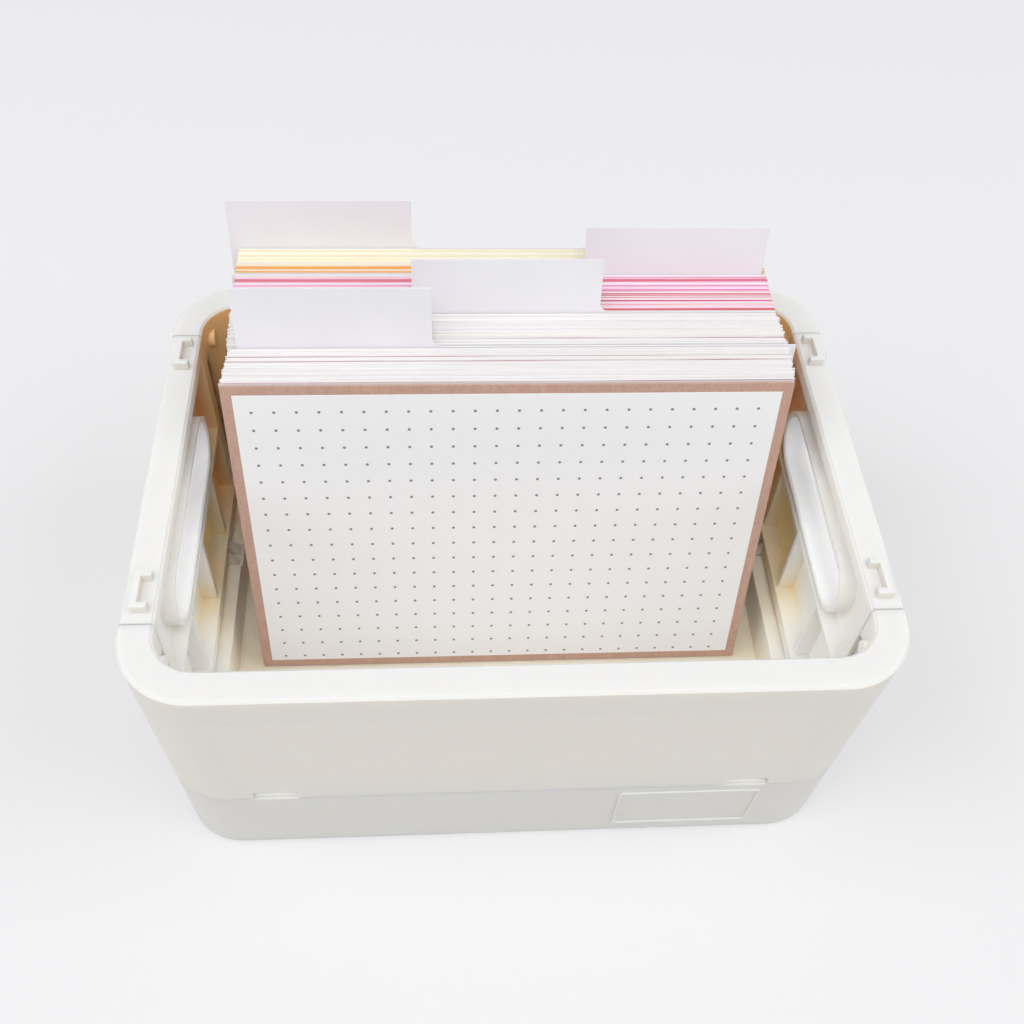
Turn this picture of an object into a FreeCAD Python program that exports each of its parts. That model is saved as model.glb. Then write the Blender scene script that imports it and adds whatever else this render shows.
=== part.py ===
# Folding card crate with leaning study cards, tabbed dividers and a dot-grid front card.
#
# The frame stands on its base at z = 0, with +Z up, +X to the right and -Y to the front.
# The origin is the middle of the footprint. All sizes are millimetres and degrees.
#
# The base tray carries two long walls with rounded corner returns and two end walls.
# Every wall turns on a moulded barrel whose pins snap into clips on the tray.
# The end walls hinge lower than the long walls, so that they fold flat first.

import FreeCAD, Part
import Sketcher
import math
import os

Vector = FreeCAD.Vector
UP = Vector(0, 0, 1)
ACROSS = Vector(1, 0, 0)

LEFT, MIDDLE, RIGHT = -1, 0, 1
FRONT, REAR = -1, 1

# Driving sizes, with what each one means
SIZES = {
    "box_length": (164.0, "overall length along X at the rim"),
    "box_depth": (121.0, "overall depth along Y at the rim"),
    "box_height": (75.5, "height of the rim above the table"),
    "draft_inset": (2.3, "how far the outside draws in between rim and table, each side"),
    "corner_radius": (16.4, "outer corner radius at the rim"),
    "inner_radius": (9.5, "inner corner radius of the rim"),
    "rim_end": (7.2, "width of the rim along the ends"),
    "rim_long": (7.5, "width of the rim along the front and rear"),
    "return_reach": (18.4, "how far the corner returns reach back from the outer face"),
    "seam_gap": (0.3, "gap between neighbouring walls"),
    "seat_gap": (0.2, "gap between a wall and the tray below it"),
    "tray_height": (26.7, "height of the tray's long sides and corners"),
    "sill_height": (15.7, "height of the tray's end sills under the end walls"),
    "floor_top": (3.0, "height of the floor's upper face"),
    "floor_lift": (1.0, "height of the floor's underside above the table"),
    "tray_end_band": (11.0, "width of the tray's end curbs, outside to inside"),
    "tray_long_band": (10.8, "width of the tray's long sides, outside to inside"),
    "tray_inner_radius": (6.0, "inner corner radius of the tray"),
    "skin": (2.0, "thickness of the tray's skins"),
    "rib": (1.5, "thickness of a rib"),
    "rib_pitch": (21.0, "distance between ribs"),
    "pin_clearance": (0.05, "radial clearance of a hinge pin in its clip"),
    "clip_gap": (0.4, "gap round a hinge clip"),
    "long_barrel_radius": (3.0, "radius of the long walls' hinge barrel"),
    "long_barrel_inset": (7.8, "long walls' hinge axis to the outside at the rim"),
    "long_hinge_z": (32.9, "height of the long walls' hinge axis"),
    "long_pin_radius": (1.3, "radius of a long wall's hinge pin"),
    "long_clip_width": (9.4, "width of a long wall's clip along its axis"),
    "long_clip_wall": (1.45, "wall of a long wall's clip round the pin"),
    "long_clip_mouth": (2.1, "width of that clip's snap opening"),
    "long_clip_x": (54.5, "long wall clips, distance from the middle"),
    "end_foot_band": (8.0, "width of the end walls' foot, inside to the outside at the rim"),
    "end_barrel_radius": (2.8, "rounding of the end walls' foot about its hinge axis"),
    "end_pin_radius": (1.0, "radius of an end wall's hinge pin"),
    "end_clip_width": (6.4, "width of an end wall's clip along its axis"),
    "end_clip_wall": (0.9, "wall of an end wall's clip round the pin"),
    "end_clip_mouth": (1.6, "width of that clip's snap opening"),
    "end_clip_split": (1.7, "gap between the two cheeks of an end wall's clip"),
    "end_clip_rear_y": (18.1, "rear clip of an end wall, behind the middle"),
    "end_clip_front_y": (25.3, "front clip of an end wall, before the middle"),
    "curb_recess": (2.0, "depth of the recess round a clip in the end curb"),
    "gusset_inset": (0.8, "curb's inner face to the foot of a clip's gusset"),
    "slot_height": (3.4, "height of the hinge slot seen from outside"),
    "hole_margin": (14.3, "end of an end wall to its hand hole"),
    "hole_height": (14.7, "height of a hand hole"),
    "hole_drop": (18.8, "rim to a hand hole's middle"),
    "hole_edge": (0.5, "chamfer of a hand hole's edges"),
    "collar": (1.5, "width of the collar round a hand hole"),
    "bay_floor_z": (22.0, "ledge under the ribbed bays of the end walls"),
    "web": (1.4, "thickness of the web below the hand hole"),
    "web_gap": (1.45, "gap between the web and the collar"),
    "end_flange": (4.0, "height of the rim flange of the end walls"),
    "side_frame": (4.3, "width of the upright frames at the ends of an end wall"),
    "bay_depth": (4.0, "depth of a bay"),
    "long_bay_floor_z": (37.5, "lower edge of the bays in the long walls"),
    "long_flange": (9.5, "height of the rim flange of the long walls"),
    "catch_radius": (2.2, "radius of a catch inside a corner return"),
    "catch_proud": (2.0, "how far a catch stands out"),
    "catch_inset": (6.0, "seam to the middle of a catch"),
    "catch_drop": (6.5, "rim to the middle of a catch"),
    "lug_height": (2.2, "height of the rim lugs"),
    "lug_width": (3.5, "width of a rim lug across the rim"),
    "lug_length": (9.2, "length of a rim lug along the rim"),
    "lug_wall": (1.4, "thickness of a rim lug's arms"),
    "lug_inset": (2.2, "outer face of the box to a rim lug"),
    "lug_margin": (7.1, "end of an end wall to the middle of a rim lug"),
    "label_width": (34.0, "width of the bare label frame"),
    "label_height": (19.0, "height of the bare label frame"),
    "label_x": (42.0, "middle of the label frame along X"),
    "label_z": (14.5, "middle of the label frame above the table"),
    "label_line": (0.7, "width of the label frame's line"),
    "label_proud": (0.35, "how far the label frame stands out"),
    "rim_edge": (0.6, "chamfer of the rim's edges"),
    "foot_edge": (0.8, "chamfer of the tray's bottom edge"),
    "card_width": (128.4, "width of a card"),
    "card_height": (91.0, "height of a card"),
    "card_lean": (11.84, "how far the cards lean back, in degrees"),
    "pack_gap": (1.584, "gap between the rear divider and the rear rim"),
    "card_lift": (0.45, "gap under the front lower edge of the cards"),
    "card_gap": (0.3, "gap between stacks, dividers and front card"),
    "card_thickness": (0.33, "thickness of one flashcard"),
    "card_air": (0.03, "air between two flashcards"),
    "card_ragged": (0.7, "how far cards stand out of their stack sideways"),
    "stray_reach": (1.2, "how much further the stray card stands out"),
    "front_card_thickness": (0.5, "thickness of the front card"),
    "divider_thickness": (0.35, "thickness of a divider"),
    "tab_width": (44.0, "width of a divider's tab"),
    "tab_round": (0.5, "rounding of a tab's outer corners"),
    "tab_hollow": (2.5, "hollow rounding where a tab meets its divider"),
}

# Cards in each stack, from the front
STACK_COUNTS = {"a": 30, "b": 28, "c": 34, "d": 24}

# One card that stands out of its stack: the stack and the card's number
STRAY_CARD = ("b", 16)

# For each divider: where its tab lies, how high the tab is, and how far the divider is off the middle
DIVIDERS = {
    "a": (LEFT, 15.0, 2.7),
    "b": (MIDDLE, 13.7, 0.0),
    "c": (RIGHT, 12.3, -0.9),
    "d": (LEFT, 12.3, -2.0),
}

LONG_RIBS = 7
END_RIBS = 3


class Size:
    """A length or an angle, with its value and the expression that gives it from the sheet."""

    def __init__(self, value, text):
        self.value = value
        self.text = text

    def __add__(self, other):
        other = as_size(other)
        return Size(self.value + other.value, f"({self.text} + {other.text})")

    def __sub__(self, other):
        other = as_size(other)
        return Size(self.value - other.value, f"({self.text} - {other.text})")

    def __mul__(self, other):
        other = as_size(other)
        return Size(self.value * other.value, f"({self.text} * {other.text})")

    def __truediv__(self, other):
        other = as_size(other)
        return Size(self.value / other.value, f"({self.text} / {other.text})")

    def __neg__(self):
        return Size(-self.value, f"(0 - {self.text})")

    def cosine(self):
        return Size(math.cos(math.radians(self.value)), f"cos({self.text} * 1deg)")

    def tangent(self):
        return Size(math.tan(math.radians(self.value)), f"tan({self.text} * 1deg)")


def as_size(number):
    if isinstance(number, Size):
        return number
    return Size(float(number), f"{float(number):.6f}")


def bind(target, path, size):
    target.setExpression(path, as_size(size).text)


doc = FreeCAD.newDocument("folding_card_crate")


def make_sheet():
    """Put every driving size in the sheet and return each one under its own name."""
    sheet = doc.addObject("Spreadsheet::Sheet", "Sizes")
    sheet.Label = "Sizes"
    named = {}
    for row, (name, (value, meaning)) in enumerate(SIZES.items(), start=1):
        sheet.set(f"A{row}", name)
        sheet.set(f"B{row}", str(value))
        sheet.set(f"C{row}", meaning)
        sheet.setAlias(f"B{row}", name)
        named[name] = Size(value, f"Sizes.{name}")
    doc.recompute()
    return named


size = make_sheet()

# Places worked out from the driving sizes
half_length = size["box_length"] / 2
half_depth = size["box_depth"] / 2
inner_half_length = half_length - size["rim_end"]
inner_half_depth = half_depth - size["rim_long"]
seam_y = half_depth - size["return_reach"]
end_wall_half_width = seam_y - size["seam_gap"]
end_foot_x = half_length - size["end_foot_band"]
end_hinge_x = end_foot_x + size["end_barrel_radius"]
long_hinge_y = half_depth - size["long_barrel_inset"]
tray_half_length = half_length - size["tray_end_band"]
tray_half_depth = half_depth - size["tray_long_band"]
long_wall_foot_z = size["tray_height"] + size["seat_gap"]
end_wall_foot_z = size["sill_height"] + size["seat_gap"]
end_hinge_z = end_wall_foot_z + size["end_barrel_radius"]
end_clip_places = (-size["end_clip_front_y"], size["end_clip_rear_y"])
hole_length = (end_wall_half_width - size["hole_margin"]) * 2
hole_middle_z = size["box_height"] - size["hole_drop"]
web_top_z = hole_middle_z - size["hole_height"] / 2 - size["collar"] - size["web_gap"]
end_flange_z = size["box_height"] - size["end_flange"]
long_flange_z = size["box_height"] - size["long_flange"]


class Hinge:
    """Sizes of one kind of snap hinge: its pin, the clip and the notch round the clip."""

    def __init__(self, kind):
        self.pin_radius = size[f"{kind}_pin_radius"]
        self.bore_radius = self.pin_radius + size["pin_clearance"]
        self.clip_radius = self.bore_radius + size[f"{kind}_clip_wall"]
        self.clip_width = size[f"{kind}_clip_width"]
        self.mouth = size[f"{kind}_clip_mouth"]
        self.notch_radius = self.clip_radius + size["clip_gap"]
        self.notch_width = self.clip_width + size["clip_gap"] * 2


long_hinge = Hinge("long")
end_hinge = Hinge("end")


def inset_at(height):
    """How far the drafted outside is drawn in from its rim size at a height."""
    return size["draft_inset"] * (as_size(1) - height / size["box_height"])


draft_angle = Size(
    math.degrees(math.atan(size["draft_inset"].value / size["box_height"].value)),
    "atan(Sizes.draft_inset / Sizes.box_height)",
)


# Bodies, sketches and features

def new_body(label):
    body = doc.addObject("PartDesign::Body", label)
    body.Label = label
    return body


def new_sketch(body, role, offset=0):
    """A sketch on one of the body's own origin planes, moved along that plane's normal."""
    sketch = body.newObject("Sketcher::SketchObject", "sketch")
    plane = next(f for f in body.Origin.OriginFeatures if f.Role == role)
    sketch.AttachmentSupport = [(plane, "")]
    sketch.MapMode = "FlatFace"
    bind(sketch, "AttachmentOffset.Base.z", offset)
    return sketch


def flat(x, y):
    return Vector(as_size(x).value, as_size(y).value, 0)


def hold(sketch, points):
    """Hold points at their places, measured from the sketch's origin.

    Each point is the number of its curve, which point of the curve it is, and its x and y.
    """
    first = sketch.ConstraintCount
    constraints = []
    numbers = []
    for curve, point, x, y in points:
        for kind, number in (("DistanceX", x), ("DistanceY", y)):
            numbers.append(number)
            value = as_size(number).value
            constraints.append(Sketcher.Constraint(kind, -1, 1, curve, point, value))
    sketch.addConstraint(constraints)
    for index, number in enumerate(numbers, start=first):
        bind(sketch, f"Constraints[{index}]", number)


def hold_radius(sketch, geometry, radius):
    radius = as_size(radius)
    index = sketch.addConstraint(Sketcher.Constraint("Radius", geometry, radius.value))
    bind(sketch, f"Constraints[{index}]", radius)


def draw_polygon(sketch, corners):
    """Straight lines through the corners, each held by its two coordinates."""
    first = sketch.GeometryCount
    count = len(corners)
    lines = []
    joins = []
    for n in range(count):
        lines.append(Part.LineSegment(flat(*corners[n]), flat(*corners[(n + 1) % count])))
        following = first + (n + 1) % count
        joins.append(Sketcher.Constraint("Coincident", first + n, 2, following, 1))
    sketch.addGeometry(lines)
    sketch.addConstraint(joins)
    hold(sketch, [(first + n, 1, x, y) for n, (x, y) in enumerate(corners)])


def draw_rectangle(sketch, x_low, x_high, y_low, y_high):
    draw_polygon(sketch, [(x_low, y_low), (x_high, y_low), (x_high, y_high), (x_low, y_high)])


def draw_circle(sketch, x, y, radius):
    circle = Part.Circle(flat(x, y), UP, as_size(radius).value)
    index = sketch.addGeometry(circle)
    hold(sketch, [(index, 3, x, y)])
    hold_radius(sketch, index, radius)


def draw_rounded_outline(sketch, corners):
    """Arcs of a quarter turn joined by tangent lines.

    Each corner is the arc's centre, its radius and the angle where it starts, in degrees.
    """
    first = sketch.GeometryCount
    count = len(corners)
    ends = []
    for x, y, radius, start in corners:
        circle = Part.Circle(flat(x, y), UP, as_size(radius).value)
        arc = Part.ArcOfCircle(circle, math.radians(start), math.radians(start + 90))
        ends.append((arc.StartPoint, arc.EndPoint))
        sketch.addGeometry(arc)
    for n in range(count):
        sketch.addGeometry(Part.LineSegment(ends[n][1], ends[(n + 1) % count][0]))
    for n, (x, y, radius, _) in enumerate(corners):
        line = first + count + n
        following = first + (n + 1) % count
        sketch.addConstraint(Sketcher.Constraint("Tangent", first + n, 2, line, 1))
        sketch.addConstraint(Sketcher.Constraint("Tangent", line, 2, following, 1))
        hold(sketch, [(first + n, 3, x, y)])
        hold_radius(sketch, first + n, radius)


def draw_rounded_rectangle(sketch, half_x, half_y, radius, middle_x=0, middle_y=0):
    x_high = as_size(middle_x) + half_x - radius
    x_low = as_size(middle_x) - half_x + radius
    y_high = as_size(middle_y) + half_y - radius
    y_low = as_size(middle_y) - half_y + radius
    corners = [
        (x_high, y_high, radius, 0),
        (x_low, y_high, radius, 90),
        (x_low, y_low, radius, 180),
        (x_high, y_low, radius, 270),
    ]
    draw_rounded_outline(sketch, corners)


def draw_stadium(sketch, length, height, middle_x, middle_y):
    """A long hole with round ends, its length along the sketch's x."""
    radius = height / 2
    reach = length / 2 - radius
    x_right = as_size(middle_x) + reach
    x_left = as_size(middle_x) - reach
    quarter = math.pi / 2
    right = Part.Circle(flat(x_right, middle_y), UP, radius.value)
    left = Part.Circle(flat(x_left, middle_y), UP, radius.value)
    right_arc = Part.ArcOfCircle(right, -quarter, quarter)
    left_arc = Part.ArcOfCircle(left, quarter, 3 * quarter)
    first = sketch.addGeometry(right_arc)
    sketch.addGeometry(Part.LineSegment(right_arc.EndPoint, left_arc.StartPoint))
    sketch.addGeometry(left_arc)
    sketch.addGeometry(Part.LineSegment(left_arc.EndPoint, right_arc.StartPoint))
    for n in range(4):
        following = first + (n + 1) % 4
        sketch.addConstraint(Sketcher.Constraint("Tangent", first + n, 2, following, 1))
    for arc, x in ((first, x_right), (first + 2, x_left)):
        hold(sketch, [(arc, 3, x, middle_y)])
        hold_radius(sketch, arc, radius)


def extrude(body, kind, sketch, length, reverse=False, both_ways=False, taper=None):
    feature = body.newObject(f"PartDesign::{kind}", kind.lower())
    feature.Profile = sketch
    bind(feature, "Length", length)
    feature.Reversed = reverse
    feature.Midplane = both_ways
    if taper is not None:
        bind(feature, "TaperAngle", taper)
    return feature


def pad(body, sketch, length, **options):
    return extrude(body, "Pad", sketch, length, **options)


def pocket(body, sketch, length, **options):
    return extrude(body, "Pocket", sketch, length, **options)


def soften(body, kind, amount, wanted):
    """Round or chamfer the edges of the body's last feature that are wanted."""
    doc.recompute()
    base = body.Tip
    names = []
    for number, edge in enumerate(base.Shape.Edges, start=1):
        middle = edge.valueAt((edge.FirstParameter + edge.LastParameter) / 2)
        if wanted(middle, edge):
            names.append(f"Edge{number}")
    feature = body.newObject(f"PartDesign::{kind}", kind.lower())
    feature.Base = (base, names)
    bind(feature, "Radius" if kind == "Fillet" else "Size", amount)


def round_edges(body, radius, wanted):
    soften(body, "Fillet", radius, wanted)


def chamfer_edges(body, width, wanted):
    soften(body, "Chamfer", width, wanted)


def near(value, wanted, within=0.02):
    return abs(value - as_size(wanted).value) < within


def in_order(first, second):
    """The same two sizes, the lower one first."""
    return sorted((first, second), key=lambda item: item.value)


# Base tray

def cut_tray_inside(tray):
    """The hollow above the floor, and the low sills that the end walls stand on."""
    hollow = new_sketch(tray, "XY_Plane", size["floor_top"])
    draw_rounded_rectangle(hollow, tray_half_length, tray_half_depth, size["tray_inner_radius"])
    pocket(tray, hollow, size["tray_height"], reverse=True)
    for side in (LEFT, RIGHT):
        sill = new_sketch(tray, "XY_Plane", size["sill_height"])
        inner = (tray_half_length - size["skin"]) * side
        outer = (half_length + size["skin"]) * side
        draw_rectangle(sill, *in_order(inner, outer), -seam_y, seam_y)
        pocket(tray, sill, size["tray_height"], reverse=True)


def cut_tray_underside(tray):
    """The recess under the floor and the channel between the skins, open below."""
    recess = new_sketch(tray, "XY_Plane")
    inner_x = tray_half_length - size["skin"]
    inner_y = tray_half_depth - size["skin"]
    draw_rounded_rectangle(recess, inner_x, inner_y, size["tray_inner_radius"] - size["skin"] / 2)
    pocket(tray, recess, size["floor_lift"], reverse=True)

    channel = new_sketch(tray, "XY_Plane")
    skin = size["skin"]
    foot_inset = size["draft_inset"] + skin
    outer_radius = size["corner_radius"] - foot_inset
    draw_rounded_rectangle(channel, half_length - foot_inset, half_depth - foot_inset, outer_radius)
    inner_radius = size["tray_inner_radius"] + skin
    draw_rounded_rectangle(
        channel, tray_half_length + skin, tray_half_depth + skin, inner_radius
    )
    pocket(tray, channel, size["sill_height"] - skin, reverse=True)


def cut_tray_side_bays(tray):
    """Deeper bays between the ribs of the long sides."""
    skin = size["skin"]
    bays = new_sketch(tray, "XY_Plane")
    y_inner = tray_half_depth + skin
    y_outer = half_depth - size["draft_inset"] - skin
    for side in (FRONT, REAR):
        for gap in range(LONG_RIBS - 1):
            left_rib = size["rib_pitch"] * (gap - (LONG_RIBS - 1) / 2)
            x_low = left_rib + size["rib"] / 2
            x_high = left_rib + size["rib_pitch"] - size["rib"] / 2
            draw_rectangle(bays, x_low, x_high, *in_order(y_inner * side, y_outer * side))
    pocket(tray, bays, size["tray_height"] - skin, reverse=True)


def add_tray_ribs(tray):
    """Ribs across the channel, set back a little from the table."""
    skin = size["skin"]
    ribs = new_sketch(tray, "XY_Plane", size["floor_lift"])
    half_rib = size["rib"] / 2
    overlap = skin / 2
    for side in (FRONT, REAR):
        y_inner = (tray_half_depth + overlap) * side
        y_outer = (half_depth - size["draft_inset"] - overlap) * side
        for rib in range(LONG_RIBS):
            x = size["rib_pitch"] * (rib - (LONG_RIBS - 1) / 2)
            draw_rectangle(ribs, x - half_rib, x + half_rib, *in_order(y_inner, y_outer))
    for side in (LEFT, RIGHT):
        x_inner = (tray_half_length + overlap) * side
        x_outer = (half_length - size["draft_inset"] - overlap) * side
        for rib in range(END_RIBS):
            y = size["rib_pitch"] * (rib - (END_RIBS - 1) / 2)
            draw_rectangle(ribs, *in_order(x_inner, x_outer), y - half_rib, y + half_rib)
    pad(tray, ribs, size["sill_height"] - size["floor_lift"] - skin / 2)


def draw_clip(sketch, hinge, across, axis_z, foot_z):
    """A clip seen along its axis: a stem with a round head."""
    low = across - hinge.clip_radius
    high = across + hinge.clip_radius
    head = Part.Circle(flat(across, axis_z), UP, hinge.clip_radius.value)
    arc = Part.ArcOfCircle(head, 0, math.pi)
    first = sketch.addGeometry(arc)
    sketch.addGeometry(Part.LineSegment(arc.EndPoint, flat(low, foot_z)))
    sketch.addGeometry(Part.LineSegment(flat(low, foot_z), flat(high, foot_z)))
    sketch.addGeometry(Part.LineSegment(flat(high, foot_z), arc.StartPoint))
    sketch.addConstraint(Sketcher.Constraint("Tangent", first, 2, first + 1, 1))
    sketch.addConstraint(Sketcher.Constraint("Coincident", first + 1, 2, first + 2, 1))
    sketch.addConstraint(Sketcher.Constraint("Coincident", first + 2, 2, first + 3, 1))
    sketch.addConstraint(Sketcher.Constraint("Tangent", first + 3, 2, first, 1))
    hold(sketch, [(first, 3, across, axis_z)])
    hold(sketch, [(first + 2, 1, low, foot_z), (first + 2, 2, high, foot_z)])
    hold_radius(sketch, first, hinge.clip_radius)


def add_clip(tray, hinge, role, along, across, axis_z, foot_z):
    """One hinge clip: its head, the bore for the pin, and the opening that the pin snaps through.

    role is the plane square to the hinge axis; along places the clip on that plane's normal.
    """
    head = new_sketch(tray, role, along)
    draw_clip(head, hinge, across, axis_z, foot_z)
    pad(tray, head, hinge.clip_width, both_ways=True)
    bore = new_sketch(tray, role, along)
    draw_circle(bore, across, axis_z, hinge.bore_radius)
    pocket(tray, bore, hinge.notch_width, both_ways=True)
    mouth = new_sketch(tray, role, along)
    half_mouth = hinge.mouth / 2
    top = axis_z + hinge.notch_radius
    draw_rectangle(mouth, across - half_mouth, across + half_mouth, axis_z, top)
    pocket(tray, mouth, hinge.notch_width, both_ways=True)


def add_end_clip(tray, side, y):
    """A clip of an end wall: two cheeks on gussets, standing in a recess of the end curb."""
    # the plane square to Y looks to the front, so its offsets change sign
    along = -y
    skin = size["skin"]
    floor = size["sill_height"] - size["curb_recess"]
    foot = floor - skin / 2
    curb_inside = tray_half_length * side
    outer = (end_hinge_x + end_hinge.notch_radius) * side

    below = new_sketch(tray, "XZ_Plane", along)
    x_pair = in_order(curb_inside + skin / 2 * side, outer)
    draw_rectangle(below, *x_pair, floor - skin, floor + skin / 2)
    pad(tray, below, end_hinge.notch_width + skin, both_ways=True)

    recess = new_sketch(tray, "XZ_Plane", along)
    x_pair = in_order(curb_inside - skin * side, outer)
    draw_rectangle(recess, *x_pair, floor, size["sill_height"] + skin)
    pocket(tray, recess, end_hinge.notch_width, both_ways=True)

    gusset = new_sketch(tray, "XZ_Plane", along)
    toe = curb_inside + size["gusset_inset"] * side
    axis_x = end_hinge_x * side
    corners = [
        (axis_x, end_hinge_z),
        (axis_x - end_hinge.clip_radius * side, end_hinge_z),
        (toe, floor + size["gusset_inset"] / 2),
        (toe, foot),
        (axis_x, foot),
    ]
    draw_polygon(gusset, corners)
    pad(tray, gusset, end_hinge.clip_width, both_ways=True)
    add_clip(tray, end_hinge, "XZ_Plane", along, axis_x, end_hinge_z, foot)

    split = new_sketch(tray, "XZ_Plane", along)
    draw_rectangle(split, *x_pair, floor, end_hinge_z + end_hinge.notch_radius)
    pocket(tray, split, size["end_clip_split"], both_ways=True)


def add_label_frame(tray):
    """A bare raised frame on the front, at the right, lying on the drafted face."""
    frame = new_sketch(tray, "XZ_Plane", half_depth - size["draft_inset"])
    frame.AttachmentOffset = FreeCAD.Placement(Vector(0, 0, 0), FreeCAD.Rotation(ACROSS, 1))
    bind(frame, "AttachmentOffset.Base.z", half_depth - size["draft_inset"])
    bind(frame, "AttachmentOffset.Rotation.Angle", draft_angle)
    corner = size["label_line"] * 2
    half_x = size["label_width"] / 2
    half_z = size["label_height"] / 2
    line = size["label_line"]
    draw_rounded_rectangle(frame, half_x, half_z, corner, size["label_x"], size["label_z"])
    draw_rounded_rectangle(
        frame, half_x - line, half_z - line, corner - line, size["label_x"], size["label_z"]
    )
    pad(tray, frame, size["label_proud"])


def make_base_tray():
    tray = new_body("base_tray")
    outside = new_sketch(tray, "XY_Plane")
    inset = size["draft_inset"]
    foot_radius = size["corner_radius"] - inset
    draw_rounded_rectangle(outside, half_length - inset, half_depth - inset, foot_radius)
    pad(tray, outside, size["tray_height"], taper=draft_angle)
    chamfer_edges(tray, size["foot_edge"], lambda middle, edge: near(middle.z, 0))
    cut_tray_inside(tray)
    cut_tray_underside(tray)
    cut_tray_side_bays(tray)
    add_tray_ribs(tray)
    for side in (LEFT, RIGHT):
        for y in end_clip_places:
            add_end_clip(tray, side, y)
    long_foot = size["tray_height"] - size["skin"] / 2
    for side in (FRONT, REAR):
        for place in (LEFT, RIGHT):
            add_clip(
                tray, long_hinge, "YZ_Plane", size["long_clip_x"] * place,
                long_hinge_y * side, size["long_hinge_z"], long_foot,
            )
    add_label_frame(tray)
    return tray


# Long walls, front and rear

def cut_to_side(wall, side):
    """Leave only the wall's own side of the box, up to the seams of its corner returns."""
    rest = new_sketch(wall, "XY_Plane", size["long_hinge_z"])
    far = half_depth + size["skin"]
    draw_rectangle(rest, -far * 2, far * 2, *in_order(seam_y * side, far * -side))
    pocket(wall, rest, size["box_height"] * 3, both_ways=True)


def cut_long_bays(wall, side):
    """Bays between the ribs inside the long panel, and one inside each corner return."""
    # the plane square to Y looks to the front, so its offsets change sign
    bays = new_sketch(wall, "XZ_Plane", inner_half_depth * -side)
    top = long_flange_z
    for gap in range(LONG_RIBS - 1):
        left_rib = size["rib_pitch"] * (gap - (LONG_RIBS - 1) / 2)
        x_low = left_rib + size["rib"] / 2
        x_high = left_rib + size["rib_pitch"] - size["rib"] / 2
        draw_rectangle(bays, x_low, x_high, size["long_bay_floor_z"], top)
    pocket(wall, bays, size["bay_depth"], reverse=side == FRONT)
    for end in (LEFT, RIGHT):
        bay = new_sketch(wall, "YZ_Plane", inner_half_length * end)
        y_seam = (seam_y - size["skin"]) * side
        y_far = (inner_half_depth - size["inner_radius"] + size["skin"]) * side
        draw_rectangle(bay, *in_order(y_seam, y_far), size["long_hinge_z"], top)
        pocket(wall, bay, size["bay_depth"], reverse=end == RIGHT)


def add_long_hinge(wall, side):
    """The barrel inside the wall's foot, its notches, the slots seen outside, and the pins."""
    axis_y = long_hinge_y * side
    straight = inner_half_length - size["inner_radius"]
    barrel = new_sketch(wall, "YZ_Plane")
    draw_circle(barrel, axis_y, size["long_hinge_z"], size["long_barrel_radius"])
    pad(wall, barrel, straight * 2, both_ways=True)
    reach = long_hinge.notch_radius
    for place in (LEFT, RIGHT):
        along = size["long_clip_x"] * place
        notch = new_sketch(wall, "YZ_Plane", along)
        foot = long_wall_foot_z - size["seat_gap"] * 2
        top = size["long_hinge_z"] + reach
        draw_rectangle(notch, axis_y - reach, axis_y + reach, foot, top)
        pocket(wall, notch, long_hinge.notch_width, both_ways=True)
        slot = new_sketch(wall, "YZ_Plane", along)
        y_pair = in_order(axis_y, (half_depth + size["skin"]) * side)
        draw_rectangle(slot, *y_pair, foot, long_wall_foot_z + size["slot_height"])
        pocket(wall, slot, long_hinge.notch_width, both_ways=True)
        pin = new_sketch(wall, "YZ_Plane", along)
        draw_circle(pin, axis_y, size["long_hinge_z"], long_hinge.pin_radius)
        pad(wall, pin, long_hinge.notch_width + size["skin"], both_ways=True)


def add_catches(wall, side):
    """A round catch inside each corner return, under the rim."""
    for end in (LEFT, RIGHT):
        catch = new_sketch(wall, "YZ_Plane", (inner_half_length + size["skin"]) * end)
        y = (seam_y + size["catch_inset"]) * side
        draw_circle(catch, y, size["box_height"] - size["catch_drop"], size["catch_radius"])
        pad(wall, catch, size["skin"] + size["catch_proud"], reverse=end == RIGHT)


def make_long_wall(label, side):
    wall = new_body(label)
    outside = new_sketch(wall, "XY_Plane", long_wall_foot_z)
    inset = inset_at(long_wall_foot_z)
    foot_radius = size["corner_radius"] - inset
    draw_rounded_rectangle(outside, half_length - inset, half_depth - inset, foot_radius)
    pad(wall, outside, size["box_height"] - long_wall_foot_z, taper=draft_angle)
    inside = new_sketch(wall, "XY_Plane", size["long_hinge_z"])
    draw_rounded_rectangle(inside, inner_half_length, inner_half_depth, size["inner_radius"])
    pocket(wall, inside, size["box_height"] * 3, both_ways=True)
    cut_to_side(wall, side)
    add_catches(wall, side)
    chamfer_edges(wall, size["rim_edge"], on_rim)
    cut_long_bays(wall, side)
    add_long_hinge(wall, side)
    return wall


def on_rim(middle, edge):
    """Whether an edge runs along the rim, and not across it at a seam."""
    across_seam = near(abs(middle.y), seam_y) or near(abs(middle.y), end_wall_half_width)
    return near(middle.z, size["box_height"]) and not across_seam


# End walls

def draw_end_section(sketch, side):
    """The end wall seen from the front: drafted outside, upright inside."""
    foot = end_wall_foot_z
    top = size["box_height"]
    corners = [
        ((half_length - inset_at(foot)) * side, foot),
        (half_length * side, top),
        (inner_half_length * side, top),
        (inner_half_length * side, size["bay_floor_z"]),
        (end_foot_x * side, size["bay_floor_z"]),
        (end_foot_x * side, foot),
    ]
    draw_polygon(sketch, corners)


def at_foot(middle, edge):
    """Whether an edge is the lower inner one, which turns about the hinge axis."""
    return near(abs(middle.x), end_foot_x) and near(middle.z, end_wall_foot_z)


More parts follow.
